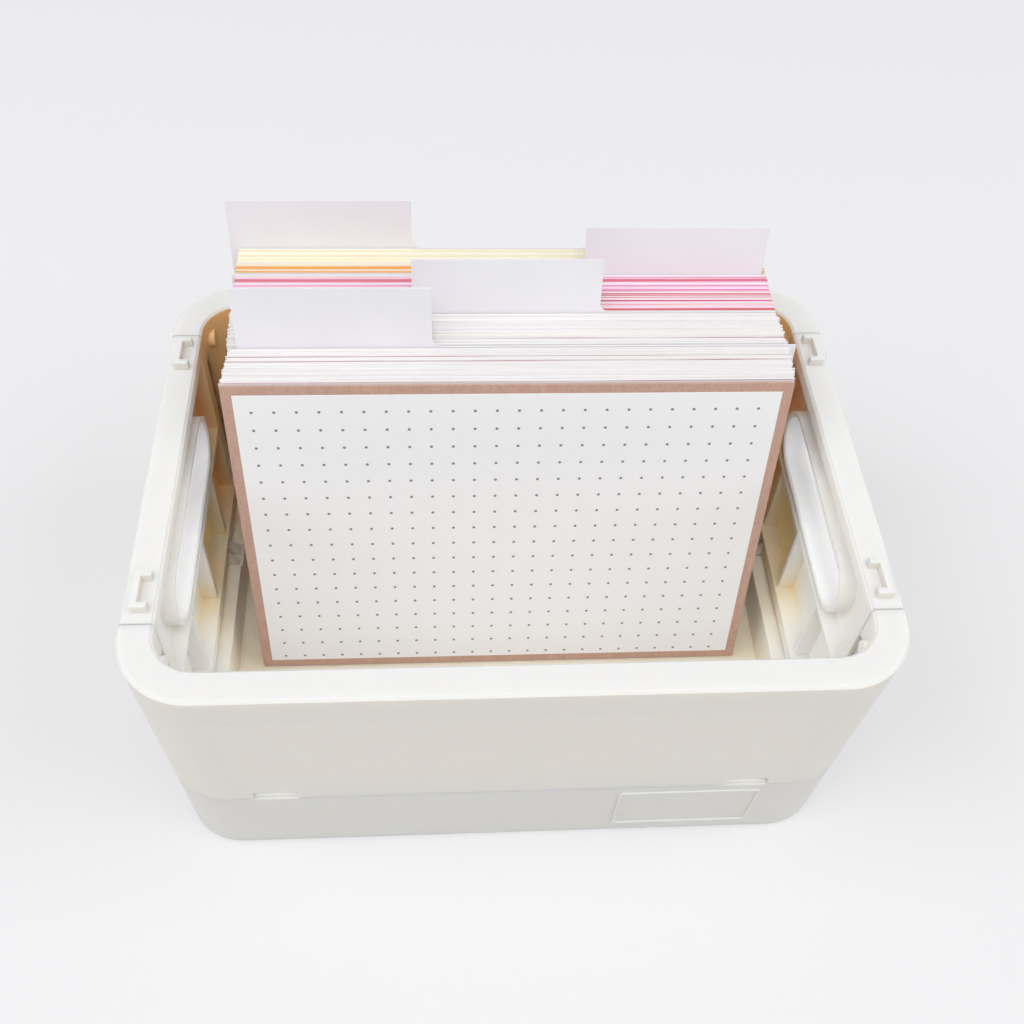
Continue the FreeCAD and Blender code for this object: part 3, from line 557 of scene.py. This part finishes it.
@dataclass(frozen=True)
class PrintedCard:
    """White card stock whose cut edges carry a little of the print."""

    name: str
    paper: Colour = srgb(227, 225, 225)
    mottle: float = 3.0 * MM
    mottle_share: float = 0.985
    fibre: float = 0.5 * MM
    fibre_depth: float = 0.01 * MM
    ink_run: float = 9.0 * MM
    ink_least: float = 0.75
    broad_face: float = 0.85
    cut_edge: float = 0.75

    def material(self) -> bpy.types.Material:
        """Build the card stock.

        Returns:
            The finished material.
        """
        recipe = Recipe(self.name)
        ink = recipe.attribute("ink")
        cover = recipe.attribute("ink_cover").outputs["Fac"]
        run = recipe.noise(self.ink_run, detail=3, stretch=(1.0, 8.0, 8.0))
        patchy = recipe.ramp(run, 0.2, 0.4, self.ink_least, 1.0)
        on_edge = recipe.ramp(recipe.facing_front_or_back(), self.broad_face, self.cut_edge)
        shown = recipe.within(cover, patchy, on_edge)
        tone = recipe.ramp(recipe.noise(self.mottle, detail=4), 0.3, 0.7)
        red, green, blue = (self.mottle_share * level for level in self.paper)
        paper = recipe.mix(tone, self.paper, (red, green, blue))
        recipe.feed("Base Color", recipe.mix(shown, paper, ink.outputs["Color"]))
        recipe.set(Roughness=0.72, IOR=1.45, Specular_IOR_Level=0.25)
        fibres = recipe.noise(self.fibre, detail=3)
        recipe.feed("Normal", recipe.bump(fibres, self.fibre_depth, strength=0.6))
        return recipe.material


@dataclass(frozen=True)
class DividerStock:
    """Smooth heavy paper of the dividers, a little cooler than the cards."""

    name: str
    paper: Colour = srgb(232, 231, 236)
    shade: Colour = srgb(229, 228, 233)
    cloud: float = 18.0 * MM
    fibre: float = 0.7 * MM
    fibre_depth: float = 0.008 * MM

    def material(self) -> bpy.types.Material:
        """Build the divider paper.

        Returns:
            The finished material.
        """
        recipe = Recipe(self.name)
        tone = recipe.ramp(recipe.noise(self.cloud, detail=4), 0.3, 0.7)
        recipe.feed("Base Color", recipe.mix(tone, self.paper, self.shade))
        recipe.set(Roughness=0.62, IOR=1.45, Specular_IOR_Level=0.3)
        fibres = recipe.noise(self.fibre, detail=3)
        recipe.feed("Normal", recipe.bump(fibres, self.fibre_depth, strength=0.6))
        return recipe.material


@dataclass(frozen=True)
class KraftGrid:
    """Kraft board with a white printed panel that carries a grid of dots."""

    name: str
    kraft: Colour = srgb(201, 167, 153)
    kraft_dark: Colour = srgb(184, 148, 132)
    panel: Colour = srgb(238, 238, 240)
    dot: Colour = srgb(100, 95, 101)
    pitch: float = 5.0 * MM
    dot_radius: float = 0.36 * MM
    half_panel: float = 61.8 * MM
    panel_foot: float = 2.4 * MM
    panel_top: float = 88.6 * MM
    shift: float = -2.0 * MM
    rise: float = 4.0 * MM
    left_dots: float = -60.0 * MM
    right_dots: float = 59.0 * MM
    low_dots: float = 3.0 * MM
    high_dots: float = 86.5 * MM
    face_print: float = 0.1 * MM
    face_bare: float = 0.12 * MM
    dot_share: float = 0.85
    edge: float = 0.06 * MM
    fibre: float = 0.55 * MM
    fibre_depth: float = 0.012 * MM
    fleck: float = 1.6 * MM

    def material(self) -> bpy.types.Material:
        """Build the board and its print.

        Returns:
            The finished material.
        """
        recipe = Recipe(self.name)
        place = recipe.card_place()
        x, y, z = recipe.axes(place)
        fibres = recipe.noise(self.fibre, detail=5, roughness=0.7, place=place)
        fleck = recipe.noise(self.fleck, detail=6, roughness=0.75, stretch=(1.0, 1.0, 0.45), place=place)
        pulp = recipe.ramp(recipe.maths("MULTIPLY", fibres, fleck), 0.12, 0.42)
        board = recipe.mix(pulp, self.kraft_dark, self.kraft)
        inside = self.panel_mask(recipe, x, y, z)
        dots = recipe.maths("MULTIPLY", self.dots(recipe, x, z), self.dot_share)
        printed = recipe.mix(dots, self.panel, self.dot)
        recipe.feed("Base Color", recipe.mix(inside, board, printed))
        recipe.feed("Roughness", recipe.ramp(inside, 0.0, 1.0, 0.85, 0.6))
        recipe.set(IOR=1.45, Specular_IOR_Level=0.25)
        recipe.feed("Normal", recipe.bump(fibres, self.fibre_depth, strength=0.7))
        return recipe.material

    def panel_mask(self, recipe: Recipe, x: Socket, y: Socket, z: Socket) -> Socket:
        """Say where the white panel lies, on the front of the card only.

        Args:
            recipe: The material's recipe.
            x: Distance across the card from its middle.
            y: Distance behind the card's front.
            z: Height along the card.

        Returns:
            1 on the panel and 0 on the board.
        """
        across = recipe.ramp(recipe.maths("ABSOLUTE", x), self.half_panel + self.edge, self.half_panel)
        foot = recipe.ramp(z, self.panel_foot - self.edge, self.panel_foot)
        top = recipe.ramp(z, self.panel_top + self.edge, self.panel_top)
        front = recipe.ramp(y, self.face_bare, self.face_print)
        return recipe.within(across, foot, top, front)

    def dots(self, recipe: Recipe, x: Socket, z: Socket) -> Socket:
        """Draw the grid of dots.

        Args:
            recipe: The material's recipe.
            x: Distance across the card from its middle.
            z: Height along the card.

        Returns:
            1 on a dot and 0 beside it.
        """
        beside = recipe.maths("PINGPONG", recipe.maths("ADD", x, self.shift), self.pitch / 2)
        above = recipe.maths("PINGPONG", recipe.maths("SUBTRACT", z, self.rise), self.pitch / 2)
        distance = recipe.length(beside, above)
        round_dot = recipe.ramp(distance, self.dot_radius + self.edge, self.dot_radius - self.edge)
        return recipe.within(
            round_dot,
            recipe.ramp(x, self.left_dots - self.edge, self.left_dots),
            recipe.ramp(x, self.right_dots + self.edge, self.right_dots),
            recipe.ramp(z, self.low_dots - self.edge, self.low_dots),
            recipe.ramp(z, self.high_dots + self.edge, self.high_dots),
        )


def deselect_all() -> None:
    """Leave nothing selected, so that an operator acts only on what is picked next."""
    bpy.ops.object.select_all(action="DESELECT")


def pick(*pieces: bpy.types.Object) -> None:
    """Select pieces alone, the last one active."""
    deselect_all()
    for piece in pieces:
        piece.select_set(True)
    bpy.context.view_layer.objects.active = pieces[-1]


@contextmanager
def editing(piece: bpy.types.Object) -> Iterator[None]:
    """Edit one piece with all of it selected, and return to object mode afterwards.

    Args:
        piece: The piece to edit.
    """
    pick(piece)
    bpy.ops.object.mode_set(mode="EDIT")
    bpy.ops.mesh.select_mode(type="FACE")
    bpy.ops.mesh.select_all(action="SELECT")
    yield
    bpy.ops.object.mode_set(mode="OBJECT")


def select_faces(piece: bpy.types.Object, wanted: Callable[[Vector, Vector], bool]) -> None:
    """Select the faces of the piece in edit mode that a test picks.

    Args:
        piece: The piece in edit mode.
        wanted: Test of a face's middle and normal.
    """
    bpy.ops.mesh.select_all(action="DESELECT")
    bpy.ops.object.mode_set(mode="OBJECT")
    for face in piece.data.polygons:
        face.select = wanted(face.center, face.normal)
    bpy.ops.object.mode_set(mode="EDIT")


def settle(piece: bpy.types.Object) -> None:
    """Put the piece's place into its mesh, with its object at the origin."""
    pick(piece)
    bpy.ops.object.transform_apply(location=True, rotation=True, scale=True)


def give(piece: bpy.types.Object, material: bpy.types.Material) -> None:
    """Make a material the piece's only one."""
    if piece.material_slots:
        for slot in piece.material_slots:
            slot.material = material
    else:
        piece.data.materials.append(material)


@dataclass
class CardBlank:
    """One plain card, upright, with its foot at z = 0 and its front at y = 0."""

    width: float = 128.4 * MM
    height: float = 91.0 * MM
    thickness: float = 0.33 * MM
    edge: float = 0.05 * MM
    spans: int = 8

    def build(self, name: str) -> bpy.types.Object:
        """Cut the card to size and break its edges.

        Args:
            name: The piece's name.

        Returns:
            The card.
        """
        deselect_all()
        bpy.ops.mesh.primitive_cube_add(size=1.0, location=(0, 0, 0))
        card = bpy.context.active_object
        card.name = name
        with editing(card):
            bpy.ops.transform.resize(value=(self.width, self.thickness, self.height))
            bpy.ops.transform.translate(value=(0, self.thickness / 2, self.height / 2))
            for span in range(1, self.spans):
                bpy.ops.mesh.select_all(action="SELECT")
                cut = (span / self.spans - 0.5) * self.width
                bpy.ops.mesh.bisect(plane_co=(cut, 0, 0), plane_no=(1, 0, 0))
            bpy.ops.mesh.select_all(action="SELECT")
            select_faces(card, lambda middle, normal: abs(normal.y) > SQUARE_ON)
            bpy.ops.mesh.bevel(offset=self.edge, segments=1, affect="EDGES")
        return card


@dataclass
class CardStack:
    """A stack of separate cards between two dividers."""

    letter: str
    name: str
    depth: float
    pattern: str
    seed: int
    front_shift: float = 0.0
    rear_shift: float = 0.0
    most_shift: float = 1.3 * MM
    pitch: float = 0.36 * MM
    ragged: float = 0.26 * MM
    most_stray: float = 1.6
    uneven: float = 0.16 * MM
    turn: float = math.radians(0.06)
    least_cover: float = 0.9

    @property
    def node(self) -> str:
        """Return the name of the node and of the body that the stack stands for."""
        return f"flashcards_{self.letter}"

    def build(self, stock: bpy.types.Material) -> bpy.types.Object:
        """Copy the blank for each card, lay the copies in a ragged row and join them.

        Args:
            stock: The card stock.

        Returns:
            The stack as one piece.
        """
        dice = random.Random(self.seed)
        blank = CardBlank().build("card_blank")
        cards = []
        for number, letter in enumerate(self.pattern):
            ink = INK_LETTERS[letter]
            pick(blank)
            bpy.ops.object.duplicate()
            card = bpy.context.active_object
            stray = max(-self.most_stray, min(self.most_stray, dice.gauss(0, 1)))
            slide = min(self.shift(number) + stray * self.ragged, self.most_shift)
            rise = dice.uniform(0, 1) * self.uneven
            turned = Matrix.Rotation(dice.uniform(-1, 1) * self.turn, 4, "Y")
            spot = Matrix.Translation((slide, 0, rise))
            card.matrix_world = LEAN.matrix(self.depth + number * self.pitch) @ spot @ turned
            self.ink(card, ink, dice)
            cards.append(card)
        pick(blank)
        bpy.ops.object.delete()
        pick(*cards)
        bpy.ops.object.join()
        stack = bpy.context.active_object
        stack.name = self.name
        settle(stack)
        give(stack, stock)
        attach(stack, self.node)
        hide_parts(self.node)
        return stack

    def shift(self, number: int) -> float:
        """Say how far a card has slid to the right.

        Args:
            number: Its place in the stack, from the front.

        Returns:
            The distance, in metres.
        """
        share = number / (len(self.pattern) - 1)
        return self.front_shift + share * (self.rear_shift - self.front_shift)

    def ink(self, card: bpy.types.Object, ink: Ink, dice: random.Random) -> None:
        """Record on the mesh how a card's cut edges are inked, with the hue and the cover drifting along them.

        Args:
            card: The card.
            ink: The print on its edges.
            dice: The stack's own random numbers.
        """
        other, most = DRIFT[ink]
        start, end = Vector(srgb(*ink.value)), Vector(srgb(*other.value))
        spans = CardBlank.spans
        hues = [start.lerp(end, most * dice.random() ** 2) for _ in range(spans + 1)]
        covers = [0.0 if ink is Ink.NONE else dice.uniform(self.least_cover, 1.0) for _ in range(spans + 1)]
        mesh = card.data
        for name, kind in (("ink", "FLOAT_COLOR"), ("ink_cover", "FLOAT")):
            mesh.attributes.new(name, kind, "POINT")
        stations = [round((point.co.x / CardBlank.width + 0.5) * spans) for point in mesh.vertices]
        for entry, station in zip(mesh.attributes["ink"].data, stations):
            entry.color = (*hues[station], 1.0)
        for entry, station in zip(mesh.attributes["ink_cover"].data, stations):
            entry.value = covers[station]


@dataclass
class GridCard:
    """The front card: kraft board with a printed panel."""

    board: float = 0.44 * MM
    panel: float = 0.05 * MM
    border: float = 2.4 * MM

    def build(self, finish: KraftGrid) -> bpy.types.Object:
        """Make the board and raise its panel.

        Args:
            finish: The board's print.

        Returns:
            The card.
        """
        card = CardBlank(thickness=self.board).build("dot_grid_card")
        with editing(card):
            bpy.ops.transform.translate(value=(0, self.panel, 0))
            select_faces(card, lambda middle, normal: normal.y < -SQUARE_ON)
            bpy.ops.mesh.inset(thickness=self.border, use_boundary=True)
            bpy.ops.mesh.extrude_region_move(TRANSFORM_OT_translate={"value": (0, -self.panel, 0)})
        card.matrix_world = LEAN.matrix()
        settle(card)
        give(card, finish.material())
        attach(card, "front_card")
        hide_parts("front_card")
        return card


@dataclass
class Dividers:
    """The four tabbed dividers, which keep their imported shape."""

    letters: str = "abcd"

    def dress(self, finish: DividerStock) -> None:
        """Give every divider its paper.

        Args:
            finish: The divider paper.
        """
        stock = finish.material()
        for letter in self.letters:
            give(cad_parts[f"divider_{letter}"], stock)
            LOG.info("divider_%s dressed", letter)


@dataclass
class Crate:
    """The moulded crate: its tray, two long walls and two end walls."""

    tray: MouldedPlastic
    wall: MouldedPlastic
    base: str = "base_tray"
    walls: Sequence[str] = ("front_wall", "rear_wall", "end_wall_left", "end_wall_right")

    def dress(self) -> None:
        """Give the tray and the walls their plastics."""
        tray, wall = self.tray.material(), self.wall.material()
        for name, plastic in ((self.base, tray), *((name, wall) for name in self.walls)):
            give(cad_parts[name], plastic)
            LOG.info("%s dressed", name)


@dataclass(frozen=True)
class Lamp:
    """A square softbox that points at the crate."""

    name: str
    place: Sequence[float]
    size: float
    power: float

    def hang(self) -> None:
        """Add the lamp at its place."""
        place = Vector(self.place)
        turn = place.to_track_quat("Z", "Y").to_euler()
        bpy.ops.object.light_add(type="AREA", location=place, rotation=turn)
        lamp = bpy.context.active_object
        lamp.name = self.name
        lamp.data.shape = "SQUARE"
        lamp.data.size = self.size
        lamp.data.energy = self.power


@dataclass
class Studio:
    """A pale table under soft light, and the camera."""

    camera_place: Vector = Vector((-16.5406, -167.9875, 275.3261)) * MM
    camera_turn: Sequence[float] = (37.59601, -2.42195, -2.89001)
    lens: float = 39.9756
    sensor: float = 36.0
    nearest: float = 0.01
    table: Colour = srgb(221, 221, 223)
    table_bounce: Colour = srgb(202, 202, 203)
    table_size: float = 8.0
    sky: float = 0.48
    sky_seen: float = 0.86
    top_lamp: Lamp = Lamp("overhead_softbox", (-0.1, -1.5, 3.3), size=1.8, power=62.0)
    side_lamps: Sequence[Lamp] = (
        Lamp("left_softbox", (-2.0, -0.5, 2.0), size=2.0, power=25.0),
        Lamp("right_softbox", (2.1, -0.5, 1.9), size=2.0, power=21.0),
    )

    def build(self) -> None:
        """Set up the camera, the table, the wide lamp above, one lamp to each side, and the sky."""
        bpy.context.scene.view_settings.view_transform = "Standard"
        self.add_camera()
        self.add_table()
        for lamp in (self.top_lamp, *self.side_lamps):
            lamp.hang()
        self.add_sky()

    def add_camera(self) -> None:
        """Stand the camera where the photograph was taken."""
        turn = [math.radians(angle) for angle in self.camera_turn]
        bpy.ops.object.camera_add(location=self.camera_place, rotation=turn)
        camera = bpy.context.active_object
        camera.name = "photo_camera"
        camera.data.lens = self.lens
        camera.data.sensor_width = self.sensor
        camera.data.clip_start = self.nearest
        bpy.context.scene.camera = camera

    def add_table(self) -> None:
        """Lay the pale table top that the crate stands on, which throws less light back than it shows."""
        deselect_all()
        bpy.ops.mesh.primitive_plane_add(size=self.table_size, location=(0, 0, 0))
        table = bpy.context.active_object
        table.name = "table_top"
        recipe = Recipe("pale_table")
        seen = seen_by_eye(recipe.material.node_tree)
        recipe.feed("Base Color", recipe.mix(seen, self.table_bounce, self.table))
        recipe.set(Roughness=0.9, Specular_IOR_Level=0.1)
        give(table, recipe.material)

    def add_sky(self) -> None:
        """Fill the shadows from an even sky, which looks as pale as the table and lights less than it shows."""
        world = bpy.data.worlds.new("studio_sky")
        bpy.context.scene.world = world
        world.use_nodes = True
        tree = world.node_tree
        sky = next(n for n in tree.nodes if n.type == "BACKGROUND")
        sky.inputs["Color"].default_value = (1.0, 1.0, 1.0, 1.0)
        strength = tree.nodes.new("ShaderNodeMapRange")
        strength.inputs["To Min"].default_value = self.sky
        strength.inputs["To Max"].default_value = self.sky_seen
        tree.links.new(seen_by_eye(tree), strength.inputs["Value"])
        tree.links.new(strength.outputs["Result"], sky.inputs["Strength"])


# One letter for each card from the front of its stack, by the letters of the inks.
PLAIN = "b..g..g...g.g..g..b...b..g..g."
RULED = "..g..b...s...g...g..g....g.."
PINK = "rrlllal.mr..o.rr.lomlllol.lmrrlol."
GOLDEN = "GG.GGGasy.ssysssyssssyss"


def stacks() -> list[CardStack]:
    """List the four stacks from front to rear.

    Returns:
        The stacks, each with its print and its depth in the pack.
    """
    return [
        CardStack("a", "cards_plain", 0.80 * MM, PLAIN, seed=11, front_shift=0.1 * MM, rear_shift=1.1 * MM),
        CardStack("b", "cards_ruled", 12.55 * MM, RULED, seed=23, front_shift=0.6 * MM, rear_shift=0.3 * MM),
        CardStack("c", "cards_pink", 23.58 * MM, PINK, seed=37, ragged=0.14 * MM),
        CardStack("d", "cards_golden", 36.77 * MM, GOLDEN, seed=41, ragged=0.14 * MM),
    ]


def main() -> None:
    """Build the studio, the crate and the cards in order."""
    logging.basicConfig(level=logging.INFO, format="%(message)s")
    Studio().build()
    # The two colours after each name are the painted light on what faces up and the painted shade on upright faces;
    # the inner colours are painted light in front of the cards and painted shade beside them.
    Crate(
        tray=MouldedPlastic("tray_plastic", srgb(219, 219, 216), srgb(216, 214, 209), inner_painted_light=srgb(252, 250, 245),
                            inner_painted_shade=srgb(248, 233, 212), roughness=0.38),
        wall=MouldedPlastic("wall_plastic", srgb(222, 222, 221), srgb(223, 220, 213), inner_painted_light=srgb(253, 251, 245),
                            inner_painted_shade=srgb(252, 228, 190), sinks=True),
    ).dress()
    stock = PrintedCard("card_stock").material()
    for stack in stacks():
        piece = stack.build(stock)
        LOG.info("%s: %d cards", piece.name, len(stack.pattern))
    Dividers().dress(DividerStock("divider_stock"))
    LOG.info("%s built", GridCard().build(KraftGrid("kraft_grid")).name)


if __name__ == "__main__":
    main()
